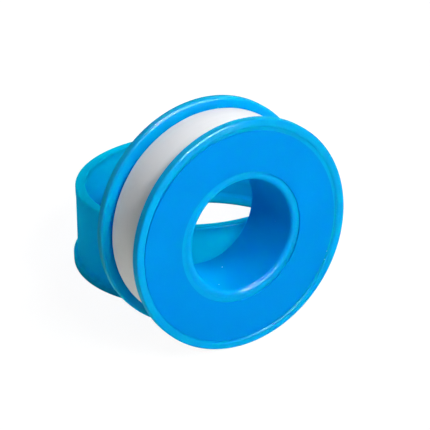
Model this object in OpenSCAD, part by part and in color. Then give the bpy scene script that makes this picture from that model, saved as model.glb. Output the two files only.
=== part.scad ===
// Thread seal tape roll: a flanged spool wound with white tape, and its ring cover standing behind it.
// Millimetres, +Z up. The spool's bore runs along Y, its centre is the origin, and the roll stands on its rims.

/* [Tape] */
// Width of the tape
tape_w = 12; // [8:0.5:25]
// Thickness of one layer of the tape
tape_t = 0.09; // [0.075:0.005:0.2]
// Depth of the wound tape on the hub, under its outermost layer
pack_depth = 10.45; // [4:0.05:20]
// Angle that the outermost layer runs through, from its start to its free end
wrap_turn = 350; // [300:5:355]
// Angle of the free end round the bore, counted from +X towards +Z
wrap_end = -35; // [-180:5:180]

/* [Spool] */
// Radius of the bore
bore_r = 13; // [8:0.1:20]
// Wall of the hub between the bore and the tape
hub_wall = 1.5; // [1:0.1:2.5]
// Height by which both flanges stand over the tape's depth
flange_over = 2.3; // [1:0.05:4]
// Thickness of each flange
flange_t = 2; // [1.6:0.1:3]
// Radius that rounds both corners of each flange's edge
edge_round = 0.5; // [0.3:0.05:0.8]
// Width between the flanges that the tape leaves free
side_play = 1.15; // [0.4:0.05:2]
// Share of the free width that lies in front of the tape
front_play_share = 0.1; // [0.1:0.1:0.9]
// Radius that rounds both mouths of the bore
mouth_round = 1.1; // [0.4:0.1:1.4]

/* [Flange faces] */
// Width of the crowned rim round each mouth of the bore
bore_rim_w = 1.9; // [1.5:0.05:3]
// Width of the crowned rim along each flange's edge
edge_rim_w = 1.85; // [1.5:0.05:4]
// Depth of the ring-shaped recess between the two rims
recess_d = 0.14; // [0.1:0.02:0.4]
// Thickness of the plain ring label in the front recess
label_t = 0.3; // [0.1:0.05:0.5]
// Width of the recess that the label leaves free along each of its edges, where it sits central
label_free = 0.6; // [0.4:0.05:0.8]
// Distance that the label sits to the left of the bore's axis
label_left = 0.45; // [-0.45:0.05:0.45]
// Distance that the label sits below the bore's axis
label_down = 0.22; // [-0.28:0.02:0.28]

/* [Cover] */
// Height of the cover
cover_h = 19.8; // [18:0.1:30]
// Wall of the cover
cover_wall = 1.05; // [0.8:0.05:2]
// Radius that the wall gains from the rim band down to the open end
cover_draft = 0.4; // [0:0.05:0.8]
// Height of the plain rim band round the top of the wall
band_h = 2.3; // [1.2:0.1:4]
// Radius by which the rim band stands out from the wall
band_step = 0.06; // [0.02:0.01:0.2]
// Width of the lip that stands in from the wall at the top
lip_w = 1.45; // [1:0.05:4]
// Thickness of the lip
lip_t = 1; // [0.8:0.1:2]
// Radius that rounds the lip's outer and inner edges
lip_round = 0.4; // [0.2:0.05:0.5]
// Width of the brim that stands out from the wall at the open end
brim_w = 1.05; // [0.6:0.05:2.5]
// Height of the brim's straight edge
brim_h = 1.65; // [1:0.05:3]
// Radius by which the open end is flared inside, to lead the flange in
lead_w = 0.35; // [0.1:0.05:0.8]
// Height of that flare
lead_h = 2.2; // [1:0.1:4]
// Distance that the cover's axis stands to the right of the bore's centre
cover_x = 15.95; // [-10:0.05:30]
// Gap between the spool's rear face and the cover's brim
brim_gap = 0.35; // [0.3:0.05:10]

/* [Clearances] */
// Radial gap between a flange and the inside of the cover
cover_clear = 0.3; // [0.15:0.05:0.6]
// Radial gap between the hub and the wound tape
pack_clear = 0.05; // [0.02:0.01:0.1]
// Radial gap in which the outermost layer slips round the tape under it
wrap_clear = 0.08; // [0.04:0.01:0.1]

/* [Hidden] */
$fn = 128;
// Depth by which a cut runs past the face that it opens
overrun = 0.5;
// Straight pieces that the outermost layer's spiral is made of
wrap_steps = 120;

hub_r = bore_r + hub_wall;
pack_r = hub_r + pack_depth;
flange_r = pack_r + flange_over;
inner_w = tape_w + side_play;
spool_w = inner_w + 2 * flange_t;
flange_mid = inner_w / 2 + flange_t / 2;
tape_front = -inner_w / 2 + side_play * front_play_share;
recess_in_r = bore_r + bore_rim_w;
recess_out_r = flange_r - edge_rim_w;
bore_crest_r = bore_r + mouth_round;
edge_crest_r = flange_r - edge_round;
cover_in_r = flange_r + cover_clear;
wall_top_r = cover_in_r + cover_wall;
cover_r = wall_top_r + band_step;
lip_r = cover_in_r - lip_w;
draft_top = cover_h - band_h;
brim_fillet_top = brim_h + brim_w;
brim_fillet_r = wall_r(wall_top_r, brim_fillet_top);
brim_r = brim_fillet_r + brim_w;
cover_y = spool_w / 2 + brim_gap + brim_r;
floor_z = -flange_r;
wrap_in_r = pack_r + wrap_clear;

// Radius of the cover's drafted wall at a height above its open end, from its radius at the rim band
function wall_r(top_r, height) = top_r + cover_draft * (1 - height / draft_top);

// A point of the outermost layer: the radius grows by one layer in each full turn
function wrap_point(angle, face_r) =
    let (r = face_r + tape_t * angle / 360, a = wrap_end - wrap_turn + angle)
    [r * cos(a), r * sin(a)];
wrap_angles = [for (i = [0:wrap_steps]) wrap_turn * i / wrap_steps];
wrap_inner = [for (a = wrap_angles) wrap_point(a, wrap_in_r)];
wrap_outer = [for (a = wrap_angles) wrap_point(a, wrap_in_r + tape_t)];

// The layer's start and free end are the only places where it comes near itself
wrap_start_edge = [wrap_inner[0], wrap_outer[0]];
wrap_free_edge = [wrap_inner[wrap_steps], wrap_outer[wrap_steps]];
wrap_gap = min([for (p = wrap_start_edge, q = wrap_free_edge) norm(p - q)]);
echo("least gap of the outermost layer to itself, mm", wrap_gap);

// Turns a shape made about Z so that its axis lies along the bore, with its top to the rear
module along_bore() {
    rotate([-90, 0, 0]) children();
}

// What a round of radius r takes off a square corner at the origin
module corner(r) {
    difference() {
        translate([-overrun, -overrun]) square(r + overrun);
        translate([r, r]) circle(r);
    }
}

module flange_profile() {
    difference() {
        translate([bore_r, -flange_t / 2]) square([flange_r - bore_r, flange_t]);
        translate([flange_r, flange_t / 2]) rotate(180) corner(edge_round);
        translate([flange_r, -flange_t / 2]) mirror([1, 0]) corner(edge_round);
    }
}

// The arc by which a rim falls from its crest to the recess, as the circle that stays out of the cut
module rim_crown(crest_r, foot_r) {
    crown_r = (pow(foot_r - crest_r, 2) + pow(recess_d, 2)) / (2 * recess_d);
    translate([crest_r, crown_r]) circle(crown_r);
}

// The cuts of the front face; the rear face has the same ones mirrored
module face_cuts() {
    translate([0, -spool_w / 2]) {
        translate([bore_r, 0]) corner(mouth_round);
        difference() {
            translate([bore_crest_r, -overrun]) square([edge_crest_r - bore_crest_r, recess_d + overrun]);
            rim_crown(bore_crest_r, recess_in_r);
            rim_crown(edge_crest_r, recess_out_r);
        }
    }
}

module spool_profile() {
    difference() {
        union() {
            translate([bore_r, -spool_w / 2]) square([hub_wall, spool_w]);
            for (side = [-1, 1]) translate([0, side * flange_mid]) flange_profile();
        }
        face_cuts();
        mirror([0, 1]) face_cuts();
    }
}

module spool() {
    color("deepskyblue") along_bore() rotate_extrude() spool_profile();
}

module face_label() {
    color("dodgerblue") translate([-label_left, -spool_w / 2 + recess_d - label_t, -label_down])
        along_bore() rotate_extrude() translate([recess_in_r + label_free, 0])
            square([recess_out_r - recess_in_r - 2 * label_free, label_t]);
}

module tape_pack() {
    color("white") along_bore() translate([0, 0, tape_front])
        rotate_extrude() translate([hub_r + pack_clear, 0])
            square([pack_r - hub_r - pack_clear, tape_w]);
}

module tape_outer_wrap() {
    color("whitesmoke") translate([0, tape_front + tape_w, 0]) rotate([90, 0, 0])
        linear_extrude(tape_w)
            polygon(concat(wrap_inner, [for (i = [wrap_steps:-1:0]) wrap_outer[i]]));
}

// The cover's section with square corners, from the lip down the outside and up the inside
module cover_outline() {
    polygon([
        [lip_r, cover_h],
        [cover_r, cover_h],
        [cover_r, draft_top],
        [wall_top_r, draft_top],
        [brim_fillet_r, brim_fillet_top],
        [brim_r, brim_fillet_top],
        [brim_r, 0],
        [wall_r(cover_in_r, 0) + lead_w, 0],
        [wall_r(cover_in_r, lead_h), lead_h],
        [cover_in_r, draft_top],
        [cover_in_r, cover_h - lip_t],
        [lip_r, cover_h - lip_t]
    ]);
}

module cover_profile() {
    difference() {
        cover_outline();
        translate([brim_r, brim_fillet_top]) circle(brim_w);
        translate([cover_r, cover_h]) rotate(180) corner(lip_round);
        translate([lip_r, cover_h]) mirror([0, 1]) corner(lip_round);
    }
}

module cover() {
    color("steelblue") translate([cover_x, cover_y, floor_z]) rotate_extrude() cover_profile();
}

spool();
face_label();
tape_pack();
tape_outer_wrap();
cover();
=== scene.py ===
"""Looks, light and camera for the thread seal tape roll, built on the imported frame. Metres, +Z up."""
import math

import bmesh
import bpy
from mathutils import Matrix, Vector, noise


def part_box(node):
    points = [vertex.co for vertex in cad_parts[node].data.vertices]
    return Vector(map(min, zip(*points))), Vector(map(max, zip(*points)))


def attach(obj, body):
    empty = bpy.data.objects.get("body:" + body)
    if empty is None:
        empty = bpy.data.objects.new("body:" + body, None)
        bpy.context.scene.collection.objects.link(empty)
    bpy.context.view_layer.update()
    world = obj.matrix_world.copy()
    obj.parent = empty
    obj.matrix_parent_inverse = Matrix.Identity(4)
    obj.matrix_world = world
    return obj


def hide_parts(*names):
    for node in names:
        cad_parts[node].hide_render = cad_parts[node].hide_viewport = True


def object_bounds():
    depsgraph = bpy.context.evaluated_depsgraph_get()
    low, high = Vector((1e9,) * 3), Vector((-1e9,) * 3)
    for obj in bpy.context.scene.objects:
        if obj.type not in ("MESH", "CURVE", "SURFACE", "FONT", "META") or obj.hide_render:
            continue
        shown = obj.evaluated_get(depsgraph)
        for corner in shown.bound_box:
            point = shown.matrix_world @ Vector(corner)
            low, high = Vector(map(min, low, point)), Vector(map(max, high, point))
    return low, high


# The photograph's camera
IMAGE_PX = 430
FOCAL_PX = 2000
SENSOR_MM = 36
CAMERA_AT = Vector((-0.21343, -0.34346, 0.19207))
CAMERA_AZIMUTH = math.radians(-31.63)
CAMERA_ELEVATION = math.radians(25.19)
CAMERA_ROLL = math.radians(-1.78)
CLIP_START = 0.01
CLIP_END = 20.0

# Colours of the pieces
SPOOL_BLUE = (0.0, 0.39, 0.80)
BORE_RIM_BLUE = (0.0, 0.35, 0.80)
# Painted shade for the bore's wall, deeper than the spool's own blue
BORE_WALL_SHADE_BLUE = (0.0, 0.265, 0.70)
BEAD_BLUE = (0.0, 0.385, 0.765)
LABEL_BLUE = (0.0, 0.275, 0.735)
COVER_BLUE = (0.0, 0.365, 0.99)
# Painted shade inside the cover's wall, deeper than the cover's own blue
COVER_INSIDE_SHADE_BLUE = (0.0, 0.115, 0.36)
SPECK_BLUE = (0.45, 0.75, 0.95)
TAPE_WHITE = (0.88, 0.88, 0.90)

# Sockets of the Mix node for colours
MIX_FACTOR = 0
MIX_LOW = 6
MIX_HIGH = 7
MIX_RESULT = 2

# Moulded plastic. Shades are pairs of a noise level and a factor on the colour there.
SPOOL_COAT = 0.10
LIGHT_REACH = (0.02, 0.6, 1.0)
MOTTLE_SCALE = 90.0
MOTTLE_DETAIL = 3.0
MOTTLE_SHADES = ((0.3, 0.97), (0.7, 1.03))
MARK_STRETCH = (300.0, 1500.0, 300.0)
MARK_DETAIL = 4.0
MARK_ROUGHNESS = 0.6
COAT_SPREAD = (-0.05, 0.07)
BODY_SPREAD = (0.2, 0.35)
PEEL_SCALE = 900.0
PEEL_DETAIL = 2.0
PEEL_STRENGTH = 0.05
PEEL_H = 0.0002
SPECK_SCALE = 260.0
SPECK_EDGE = (0.045, 0.025)

# The bore's wall colour is painted shade.
# Radii between which the spool's colour goes from the bore's wall to its rim, and from the rim to the flange
BORE_R = 0.013
WALL_TO_RIM = (BORE_R + 0.00003, BORE_R + 0.0005)
RIM_TO_FLANGE = (BORE_R + 0.0008, BORE_R + 0.0028)

# Radii between which the cover's wall goes from its middle to its inside, and how deep the painted shade on
# the inside is at shares of the cover's height
MIDDLE_TO_INSIDE = (0.0283, 0.0280)
INSIDE_SHADE_DEPTHS = ((0.085, 0.0), (0.18, 1.0), (0.33, 1.0), (0.48, 0.48), (0.93, 0.0))

# Tape film
STREAK_STRETCH = (60.0, 2600.0, 60.0)
STREAK_DETAIL = 3.0
STREAK_ROUGHNESS = 0.6
STREAK_SHADES = ((0.3, 0.975), (0.7, 1.0))
STREAK_STRENGTH = 0.1
STREAK_H = 0.0001
TAPE_ROUGHNESS = (0.5, 0.65)
TAPE_SPECULAR = 0.02

# Rings about the bore's axis
RING_SEGMENTS = 240

# The bead on each flange's rim: the radii where its flat top starts and ends, the rounds beside the top,
# its height over the flange's face, and how far its side and its foot reach below that face
BEAD_IN_R = 0.0259
BEAD_IN_ROUND = 0.0008
BEAD_IN_TILT = math.radians(60.0)
BEAD_OUT_R = 0.02684
BEAD_OUT_ROUND = 0.0004
BEAD_OUT_TILT = math.radians(90.0)
BEAD_H = 0.0002
BEAD_SIDE = 0.0005
BEAD_FOOT = 0.0012
BEAD_STEPS = 12

# The wound tape, with the ridges that its layers' edges make on its sides
PACK_IN_R = 0.01455
PACK_RIDGES = 58
RIDGE_H = 0.00003
RIDGE_SCALE = 9000.0
FRONT_SEED = 0.0
REAR_SEED = 5.0

# The outermost layer of the tape. Turns are in degrees along it, and its end is an angle round the bore.
TAPE_T = 0.00009
WRAP_IN_R = 0.02497
WRAP_GROWTH = 0.00010
WRAP_TURN = 385.0
WRAP_END = -35.0
WRAP_OVERLAP = 25.0
WRAP_STEPS_ALONG = 720
WRAP_STEPS_ACROSS = 60
WRINKLE_FADE = 15.0
WRINKLE_H = 0.00005
WRINKLE_SCALE = 700.0
TAIL_TURN = 10.0
TAIL_LIFT = 0.0004
TEAR_TURN = 2.5
TEAR_SCALE = 9.0
TEAR_SEED = 3.0
CLOUD_FALLOFF = 1.0
CLOUD_LACUNARITY = 2.0
CLOUD_OCTAVES = 3

# Stage: what the floor and the world send to the roll, and what is seen of them
FLOOR_HALF = 1.5
FLOOR_COLOR = (0.76, 0.74, 0.655, 1.0)
FLOOR_FILL = 0.08
FLOOR_SEEN_COLOR = (0.12, 0.12, 0.12, 1.0)
FLOOR_SEEN_GLOW = 0.93
AMBIENT_COLOR = (0.6, 0.8, 1.0, 1.0)
AMBIENT_STRENGTH = 0.035
BACKDROP_COLOR = (1.0, 1.0, 1.0, 1.0)
BACKDROP_STRENGTH = 1.0

# Lamps by name: the direction from the roll, then the power of a square panel or the size of a glint strip
LAMP_DISTANCE = 0.4
PANEL_SIZE = (0.14, 0.14)
KEY_LAMPS = {
    "key": ((0.0, -0.77, 0.64), 1.14),
    "key_right": ((0.38, -0.48, 0.79), 0.66),
}
BACK_LAMPS = {
    "back": ((0.03, 0.88, 0.47), 0.48),
    "back_right": ((0.62, 0.65, 0.44), 0.28),
    "back_left": ((-0.75, 0.50, 0.43), 0.06),
}
GLINT_POWER = 22.0
GLINT_LAMPS = {
    "front_glint": ((0.2, -0.92, 0.36), (0.30, 0.05)),
    "top_glint": ((-0.05, -0.14, 0.99), (0.36, 0.04)),
}

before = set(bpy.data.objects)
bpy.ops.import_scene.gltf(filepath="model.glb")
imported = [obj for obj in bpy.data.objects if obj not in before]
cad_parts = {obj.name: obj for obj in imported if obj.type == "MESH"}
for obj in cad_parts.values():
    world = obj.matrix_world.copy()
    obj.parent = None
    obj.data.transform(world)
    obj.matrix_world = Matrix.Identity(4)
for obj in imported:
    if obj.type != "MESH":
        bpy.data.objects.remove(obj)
cad_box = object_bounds()


# Camera

def add_camera():
    """The photograph's camera, from its place, its two angles and its roll."""
    data = bpy.data.cameras.new("camera")
    data.sensor_fit = "HORIZONTAL"
    data.sensor_width = SENSOR_MM
    data.lens = SENSOR_MM * FOCAL_PX / IMAGE_PX
    data.clip_start = CLIP_START
    data.clip_end = CLIP_END
    az, el, roll = CAMERA_AZIMUTH, CAMERA_ELEVATION, CAMERA_ROLL
    back = Vector((math.sin(az) * math.cos(el), -math.cos(az) * math.cos(el), math.sin(el)))
    right = Vector((math.cos(az), math.sin(az), 0.0))
    up = back.cross(right)
    turned_right = math.cos(roll) * right + math.sin(roll) * up
    turned_up = -math.sin(roll) * right + math.cos(roll) * up
    axes = Matrix((turned_right, turned_up, back)).transposed()
    camera = bpy.data.objects.new("camera", data)
    camera.matrix_world = Matrix.Translation(CAMERA_AT) @ axes.to_4x4()
    bpy.context.scene.collection.objects.link(camera)
    bpy.context.scene.camera = camera


# Materials

class Nodes:
    """A short way to make nodes and links in one tree."""

    def __init__(self, tree):
        self.tree = tree
        tree.nodes.clear()

    def add(self, kind, **settings):
        node = self.tree.nodes.new(kind)
        for key, value in settings.items():
            setattr(node, key, value)
        return node

    def link(self, source, target):
        self.tree.links.new(source, target)

    def math(self, operation, a, b):
        node = self.add("ShaderNodeMath", operation=operation)
        self.link(a, node.inputs[0])
        self.link(b, node.inputs[1])
        return node.outputs["Value"]

    def noise(self, vector, scale, detail, roughness=0.5):
        node = self.add("ShaderNodeTexNoise")
        node.inputs["Scale"].default_value = scale
        node.inputs["Detail"].default_value = detail
        node.inputs["Roughness"].default_value = roughness
        self.link(vector, node.inputs["Vector"])
        return node.outputs["Fac"]

    def ramp(self, value, stops):
        """A colour for each value, from pairs of a value and a colour in rising order."""
        node = self.add("ShaderNodeValToRGB")
        elements = node.color_ramp.elements
        while len(elements) < len(stops):
            elements.new(0.5)
        for element, (level, color) in zip(elements, stops):
            element.position = level
            element.color = (*color, 1.0)
        self.link(value, node.inputs["Fac"])
        return node.outputs["Color"]

    def spread(self, value, low, high):
        """Values from 0 to 1, spread from low to high."""
        node = self.add("ShaderNodeMapRange")
        node.inputs["To Min"].default_value = low
        node.inputs["To Max"].default_value = high
        self.link(value, node.inputs["Value"])
        return node.outputs["Result"]

    def span(self, value, start, end):
        """0 at start and 1 at end, level beyond both."""
        node = self.add("ShaderNodeMapRange")
        node.inputs["From Min"].default_value = start
        node.inputs["From Max"].default_value = end
        self.link(value, node.inputs["Value"])
        return node.outputs["Result"]

    def mapped(self, vector, scale):
        node = self.add("ShaderNodeMapping")
        node.inputs["Scale"].default_value = scale
        self.link(vector, node.inputs["Vector"])
        return node.outputs["Vector"]

    def minus(self, vector, offset):
        node = self.add("ShaderNodeVectorMath", operation="SUBTRACT")
        self.link(vector, node.inputs[0])
        node.inputs[1].default_value = offset
        return node.outputs["Vector"]

    def length(self, vector):
        node = self.add("ShaderNodeVectorMath", operation="LENGTH")
        self.link(vector, node.inputs[0])
        return node.outputs["Value"]

    def height(self, vector):
        node = self.add("ShaderNodeSeparateXYZ")
        self.link(vector, node.inputs["Vector"])
        return node.outputs["Z"]

    def bump(self, height, strength, distance):
        node = self.add("ShaderNodeBump")
        node.inputs["Strength"].default_value = strength
        node.inputs["Distance"].default_value = distance
        self.link(height, node.inputs["Height"])
        return node.outputs["Normal"]

    def blend(self, factor, low, high):
        """A colour from low to high, where high is a socket or a plain colour."""
        node = self.add("ShaderNodeMix", data_type="RGBA")
        self.link(factor, node.inputs[MIX_FACTOR])
        self.link(low, node.inputs[MIX_LOW])
        if isinstance(high, tuple):
            node.inputs[MIX_HIGH].default_value = (*high, 1.0)
        else:
            self.link(high, node.inputs[MIX_HIGH])
        return node.outputs[MIX_RESULT]


def new_material(name):
    material = bpy.data.materials.new(name)
    material.use_nodes = True
    nodes = Nodes(material.node_tree)
    shader = nodes.add("ShaderNodeBsdfPrincipled")
    output = nodes.add("ShaderNodeOutputMaterial")
    nodes.link(shader.outputs["BSDF"], output.inputs["Surface"])
    place = nodes.add("ShaderNodeTexCoord").outputs["Object"]
    return material, nodes, shader, place


def shaded(nodes, value, color, shades):
    """One colour in the shades that a value calls for."""
    stops = [(level, tuple(channel * factor for channel in color)) for level, factor in shades]
    return nodes.ramp(value, stops)


def mottled(nodes, place, color):
    """A colour with a faint, broad mottle."""
    mottle = nodes.noise(place, MOTTLE_SCALE, MOTTLE_DETAIL)
    return shaded(nodes, mottle, color, MOTTLE_SHADES)


def flecked(nodes, place, color):
    """Adds sparse pale specks of dust, each about a quarter of a millimetre across."""
    cells = nodes.add("ShaderNodeTexVoronoi")
    cells.inputs["Scale"].default_value = SPECK_SCALE
    nodes.link(place, cells.inputs["Vector"])
    speck = nodes.span(cells.outputs["Distance"], *SPECK_EDGE)
    return nodes.blend(speck, color, SPECK_BLUE)


def moulded_plastic(name, color, gloss, coat, depth):
    """Smooth coloured moulding, slightly translucent, with a faint mottle and fine handling marks."""
    material, nodes, shader, place = new_material(name)
    nodes.link(mottled(nodes, place, color), shader.inputs["Base Color"])
    marks = nodes.noise(nodes.mapped(place, MARK_STRETCH), 1.0, MARK_DETAIL, MARK_ROUGHNESS)
    coat_low, coat_high = COAT_SPREAD
    nodes.link(nodes.spread(marks, gloss + coat_low, gloss + coat_high), shader.inputs["Coat Roughness"])
    body_low, body_high = BODY_SPREAD
    nodes.link(nodes.spread(marks, gloss + body_low, gloss + body_high), shader.inputs["Roughness"])
    peel = nodes.noise(place, PEEL_SCALE, PEEL_DETAIL)
    nodes.link(nodes.bump(peel, PEEL_STRENGTH, PEEL_H), shader.inputs["Normal"])
    shader.inputs["Specular IOR Level"].default_value = 0.0
    shader.inputs["Coat Weight"].default_value = coat
    shader.inputs["Subsurface Weight"].default_value = 1.0
    shader.inputs["Subsurface Radius"].default_value = LIGHT_REACH
    shader.inputs["Subsurface Scale"].default_value = depth
    return material, nodes, shader, place


def paint_bore_shade(nodes, shader, place):
    """Painted shade on the bore's wall: its colour is deeper; the wall is also less polished."""
    radius = nodes.length(nodes.mapped(place, (1.0, 0.0, 1.0)))
    off_wall = nodes.span(radius, *WALL_TO_RIM)
    off_rim = nodes.span(radius, *RIM_TO_FLANGE)
    rim = mottled(nodes, place, BORE_RIM_BLUE)
    face = nodes.blend(off_rim, rim, mottled(nodes, place, SPOOL_BLUE))
    plain = nodes.blend(off_wall, mottled(nodes, place, BORE_WALL_SHADE_BLUE), face)
    nodes.link(flecked(nodes, place, plain), shader.inputs["Base Color"])
    nodes.link(nodes.spread(off_wall, 0.0, SPOOL_COAT), shader.inputs["Coat Weight"])


def paint_cover_shade(nodes, shader, place):
    """Painted shade inside the cover's wall: its colour is deeper between foot and lip."""
    low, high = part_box("cover")
    off_axis = nodes.mapped(nodes.minus(place, (low + high) / 2), (1.0, 1.0, 0.0))
    inside = nodes.span(nodes.length(off_axis), *MIDDLE_TO_INSIDE)
    height_share = nodes.span(nodes.height(place), low.z, high.z)
    levels = [(share, (depth, depth, depth)) for share, depth in INSIDE_SHADE_DEPTHS]
    painted_shade = nodes.math("MULTIPLY", inside, nodes.ramp(height_share, levels))
    plain = mottled(nodes, place, COVER_BLUE)
    color = nodes.blend(painted_shade, plain, mottled(nodes, place, COVER_INSIDE_SHADE_BLUE))
    nodes.link(color, shader.inputs["Base Color"])


def tape_film(name):
    """White film: soft, with fine streaks round the roll."""
    material, nodes, shader, place = new_material(name)
    streaks = nodes.noise(nodes.mapped(place, STREAK_STRETCH), 1.0, STREAK_DETAIL, STREAK_ROUGHNESS)
    nodes.link(shaded(nodes, streaks, TAPE_WHITE, STREAK_SHADES), shader.inputs["Base Color"])
    nodes.link(nodes.spread(streaks, *TAPE_ROUGHNESS), shader.inputs["Roughness"])
    nodes.link(nodes.bump(streaks, STREAK_STRENGTH, STREAK_H), shader.inputs["Normal"])
    shader.inputs["Specular IOR Level"].default_value = TAPE_SPECULAR
    return material


def dress(obj, material):
    obj.data.materials.clear()
    obj.data.materials.append(material)


# Meshes

def ring_point(r, y, angle):
    return Vector((r * math.cos(angle), y, r * math.sin(angle)))


def stitch(bm, here, there):
    """Faces between two closed rows of vertices."""
    count = len(here)
    for i in range(count):
        j = (i + 1) % count
        bm.faces.new((here[i], here[j], there[j], there[i]))


def smooth_object(name, bm):
    """A smooth object from a finished bmesh, which is freed."""
    bmesh.ops.recalc_face_normals(bm, faces=bm.faces)
    mesh = bpy.data.meshes.new(name)
    bm.to_mesh(mesh)
    bm.free()
    for polygon in mesh.polygons:
        polygon.use_smooth = True
    obj = bpy.data.objects.new(name, mesh)
    bpy.context.scene.collection.objects.link(obj)
    return obj


def lathe(name, profile):
    """A ring about the bore's axis, from a closed profile of radii and places along the bore."""
    bm = bmesh.new()
    rings = []
    for k in range(RING_SEGMENTS):
        angle = 2 * math.pi * k / RING_SEGMENTS
        rings.append([bm.verts.new(ring_point(r, y, angle)) for r, y in profile])
    for k in range(RING_SEGMENTS):
        stitch(bm, rings[k], rings[(k + 1) % RING_SEGMENTS])
    return smooth_object(name, bm)


def bead_round(centre_r, radius, tilts, face_y, outward):
    """The profile of one round of a bead, by the tilt of its surface; a negative tilt faces the recess."""
    start, end = tilts
    points = []
    for i in range(BEAD_STEPS + 1):
        tilt = start + (end - start) * i / BEAD_STEPS
        drop = radius * (1.0 - math.cos(tilt))
        points.append((centre_r + radius * math.sin(tilt), face_y + outward * (BEAD_H - drop)))
    return points


def edge_bead(name, face_y, outward):
    """The raised rim of a flange: a flat top, a large round to the recess and a small one to the edge."""
    foot_y = face_y - outward * BEAD_FOOT
    profile = bead_round(BEAD_IN_R, BEAD_IN_ROUND, (-BEAD_IN_TILT, 0.0), face_y, outward)
    profile += bead_round(BEAD_OUT_R, BEAD_OUT_ROUND, (0.0, BEAD_OUT_TILT), face_y, outward)
    profile.append((BEAD_OUT_R + BEAD_OUT_ROUND, face_y - outward * BEAD_SIDE))
    profile.append((BEAD_OUT_R, foot_y))
    profile.append((BEAD_IN_R, foot_y))
    return lathe(name, profile)


def ridge_dent(i, r, seed):
    """Depth of the dent beside a ridge of the wound tape's side: every second radius has one."""
    return abs(RIDGE_H * (i % 2) * (0.5 + 0.5 * noise.noise((r * RIDGE_SCALE, seed, 0.0))))


def tape_roll():
    """The wound tape under its last layer: a ring whose sides show the edges of the layers."""
    low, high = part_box("tape_pack")
    pack_r = (high.x - low.x) / 2
    steps = 2 * PACK_RIDGES
    radii = [PACK_IN_R + (pack_r - PACK_IN_R) * i / steps for i in range(steps + 1)]
    front = [(r, low.y + ridge_dent(i, r, FRONT_SEED)) for i, r in enumerate(radii)]
    rear = [(r, high.y - ridge_dent(i, r, REAR_SEED)) for i, r in enumerate(reversed(radii))]
    return lathe("tape_roll", front + rear)


def clouds(point):
    """Soft noise about 0.5."""
    return 0.5 + 0.5 * noise.fractal(point, CLOUD_FALLOFF, CLOUD_LACUNARITY, CLOUD_OCTAVES)


def wrinkle(point, turn):
    """Height of the film's soft wrinkles at a point: none where the layer starts, under its own free end."""
    fade = min(1.0, max(0.0, (turn - WRAP_OVERLAP) / WRINKLE_FADE))
    return fade * WRINKLE_H * max(0.0, clouds(point * WRINKLE_SCALE))


def tail_share(turn):
    """0 up to the tail of the outermost layer, then rising to 1 at its free end."""
    return max(0.0, 1.0 - (WRAP_TURN - turn) / TAIL_TURN)


def tail_lift(turn):
    """Height by which the free end stands off the turn under it."""
    share = tail_share(turn)
    return TAIL_LIFT * share * share


def torn_turn(turn, across_share):
    """Angle along the tape, cut back unevenly where the tape was torn off."""
    ragged = clouds(Vector((across_share * TEAR_SCALE, TEAR_SEED, 0.0)))
    return turn - TEAR_TURN * tail_share(turn) * min(1.0, max(0.0, ragged))


def wrap_row(bm, row_turn, low_y, high_y):
    """A closed row of vertices across the outermost layer: out on its inner face, back on its outer one."""
    inner, outer = [], []
    for i in range(WRAP_STEPS_ACROSS + 1):
        across_share = i / WRAP_STEPS_ACROSS
        turn = torn_turn(row_turn, across_share)
        angle = math.radians(WRAP_END - WRAP_TURN + turn)
        y = low_y + (high_y - low_y) * across_share
        r = WRAP_IN_R + WRAP_GROWTH * turn / 360.0
        r += wrinkle(ring_point(r, y, angle), turn) + tail_lift(turn)
        inner.append(bm.verts.new(ring_point(r, y, angle)))
        outer.append(bm.verts.new(ring_point(r + TAPE_T, y, angle)))
    return inner + outer[::-1]


def close_end(bm, row):
    """Faces between the inner and the outer face at one end of the outermost layer."""
    last = len(row) - 1
    for i in range(WRAP_STEPS_ACROSS):
        bm.faces.new((row[i], row[i + 1], row[last - 1 - i], row[last - i]))


def tape_wrap():
    """The outermost layer: a spiral of film with soft wrinkles, whose torn end lies on the turn under it."""
    low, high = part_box("tape_outer_wrap")
    bm = bmesh.new()
    rows = []
    for k in range(WRAP_STEPS_ALONG + 1):
        rows.append(wrap_row(bm, WRAP_TURN * k / WRAP_STEPS_ALONG, low.y, high.y))
    for here, there in zip(rows, rows[1:]):
        stitch(bm, here, there)
    for row in (rows[0], rows[-1]):
        close_end(bm, row)
    return smooth_object("tape_wrap", bm)


# Stage and light

def seen_directly(nodes):
    """1 for rays that show the backdrop itself: from the camera, in gloss or through glass."""
    path = nodes.add("ShaderNodeLightPath")
    shown = nodes.math("MAXIMUM", path.outputs["Is Camera Ray"], path.outputs["Is Glossy Ray"])
    return nodes.math("MAXIMUM", shown, path.outputs["Is Transmission Ray"])


def unless_seen(nodes, sent, seen):
    """One shader for the light that reaches the roll, and another for what is seen directly."""
    mix = nodes.add("ShaderNodeMixShader")
    nodes.link(seen_directly(nodes), mix.inputs["Fac"])
    nodes.link(sent, mix.inputs[1])
    nodes.link(seen, mix.inputs[2])
    return mix.outputs["Shader"]


def glowing_matt(nodes, color, strength):
    """A matt surface with a white glow of its own."""
    matt = nodes.add("ShaderNodeBsdfDiffuse")
    matt.inputs["Color"].default_value = color
    glow = nodes.add("ShaderNodeEmission")
    glow.inputs["Strength"].default_value = strength
    both = nodes.add("ShaderNodeAddShader")
    nodes.link(matt.outputs["BSDF"], both.inputs[0])
    nodes.link(glow.outputs["Emission"], both.inputs[1])
    return both.outputs["Shader"]


def floor_material():
    """A pale floor that keeps a faint shadow where it is seen."""
    material = bpy.data.materials.new("floor")
    material.use_nodes = True
    nodes = Nodes(material.node_tree)
    sent = glowing_matt(nodes, FLOOR_COLOR, FLOOR_FILL)
    seen = glowing_matt(nodes, FLOOR_SEEN_COLOR, FLOOR_SEEN_GLOW)
    output = nodes.add("ShaderNodeOutputMaterial")
    nodes.link(unless_seen(nodes, sent, seen), output.inputs["Surface"])
    return material


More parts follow.
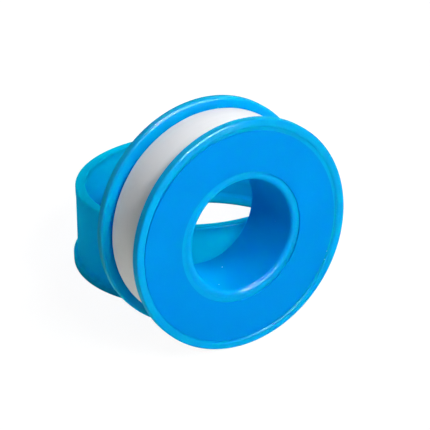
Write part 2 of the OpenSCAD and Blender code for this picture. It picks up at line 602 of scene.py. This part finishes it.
def add_floor():
    """A plain square floor under the part."""
    half = FLOOR_HALF
    z = cad_box[0].z
    mesh = bpy.data.meshes.new("floor")
    corners = [(-half, -half, z), (half, -half, z), (half, half, z), (-half, half, z)]
    mesh.from_pydata(corners, [], [(0, 1, 2, 3)])
    floor = bpy.data.objects.new("floor", mesh)
    bpy.context.scene.collection.objects.link(floor)
    dress(floor, floor_material())


def background(nodes, color, strength):
    node = nodes.add("ShaderNodeBackground")
    node.inputs["Color"].default_value = color
    node.inputs["Strength"].default_value = strength
    return node.outputs["Background"]


def add_world():
    """A white backdrop that lights the roll only faintly."""
    world = bpy.data.worlds.new("studio")
    bpy.context.scene.world = world
    world.use_nodes = True
    nodes = Nodes(world.node_tree)
    sent = background(nodes, AMBIENT_COLOR, AMBIENT_STRENGTH)
    seen = background(nodes, BACKDROP_COLOR, BACKDROP_STRENGTH)
    output = nodes.add("ShaderNodeOutputWorld")
    nodes.link(unless_seen(nodes, sent, seen), output.inputs["Surface"])


def add_softbox(name, towards, size, power):
    """An area lamp in a direction from the roll, facing it."""
    data = bpy.data.lights.new(name, "AREA")
    data.shape = "RECTANGLE"
    data.size, data.size_y = size
    data.energy = power
    lamp = bpy.data.objects.new(name, data)
    direction = Vector(towards).normalized()
    lamp.location = direction * LAMP_DISTANCE
    lamp.rotation_mode = "QUATERNION"
    lamp.rotation_quaternion = direction.to_track_quat("Z", "Y")
    bpy.context.scene.collection.objects.link(lamp)
    return lamp


def add_lights():
    """Key lamps, lamps behind that don't show in gloss, and strips that show in gloss only."""
    for name, (towards, power) in KEY_LAMPS.items():
        add_softbox(name, towards, PANEL_SIZE, power)
    for name, (towards, power) in BACK_LAMPS.items():
        lamp = add_softbox(name, towards, PANEL_SIZE, power)
        lamp.visible_glossy = False
    for name, (towards, size) in GLINT_LAMPS.items():
        lamp = add_softbox(name, towards, size, GLINT_POWER)
        lamp.visible_diffuse = False
        lamp.visible_transmission = False


add_camera()

spool_plastic, *spool_nodes = moulded_plastic(
    "spool_plastic", SPOOL_BLUE, gloss=0.08, coat=SPOOL_COAT, depth=0.003)
# Painted shade on the bore's wall
paint_bore_shade(*spool_nodes)
bead_plastic, *_ = moulded_plastic("bead_plastic", BEAD_BLUE, gloss=0.05, coat=SPOOL_COAT, depth=0.0003)
label_film, *_ = moulded_plastic("label_film", LABEL_BLUE, gloss=0.25, coat=0.02, depth=0.0001)
cover_plastic, *cover_nodes = moulded_plastic(
    "cover_plastic", COVER_BLUE, gloss=0.14, coat=0.012, depth=0.014)
# Painted shade inside the cover's wall
paint_cover_shade(*cover_nodes)
tape_white = tape_film("tape_white")

dress(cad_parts["spool"], spool_plastic)
dress(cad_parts["face_label"], label_film)
dress(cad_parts["cover"], cover_plastic)

spool_low, spool_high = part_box("spool")
for bead in (edge_bead("front_bead", spool_low.y, -1), edge_bead("rear_bead", spool_high.y, 1)):
    dress(bead, bead_plastic)
    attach(bead, "spool")

roll = tape_roll()
dress(roll, tape_white)
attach(roll, "spool")
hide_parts("tape_pack")

wrap = tape_wrap()
dress(wrap, tape_white)
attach(wrap, "outer_wrap")
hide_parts("tape_outer_wrap")

add_floor()
add_world()
add_lights()

bpy.context.scene.view_settings.view_transform = "Standard"
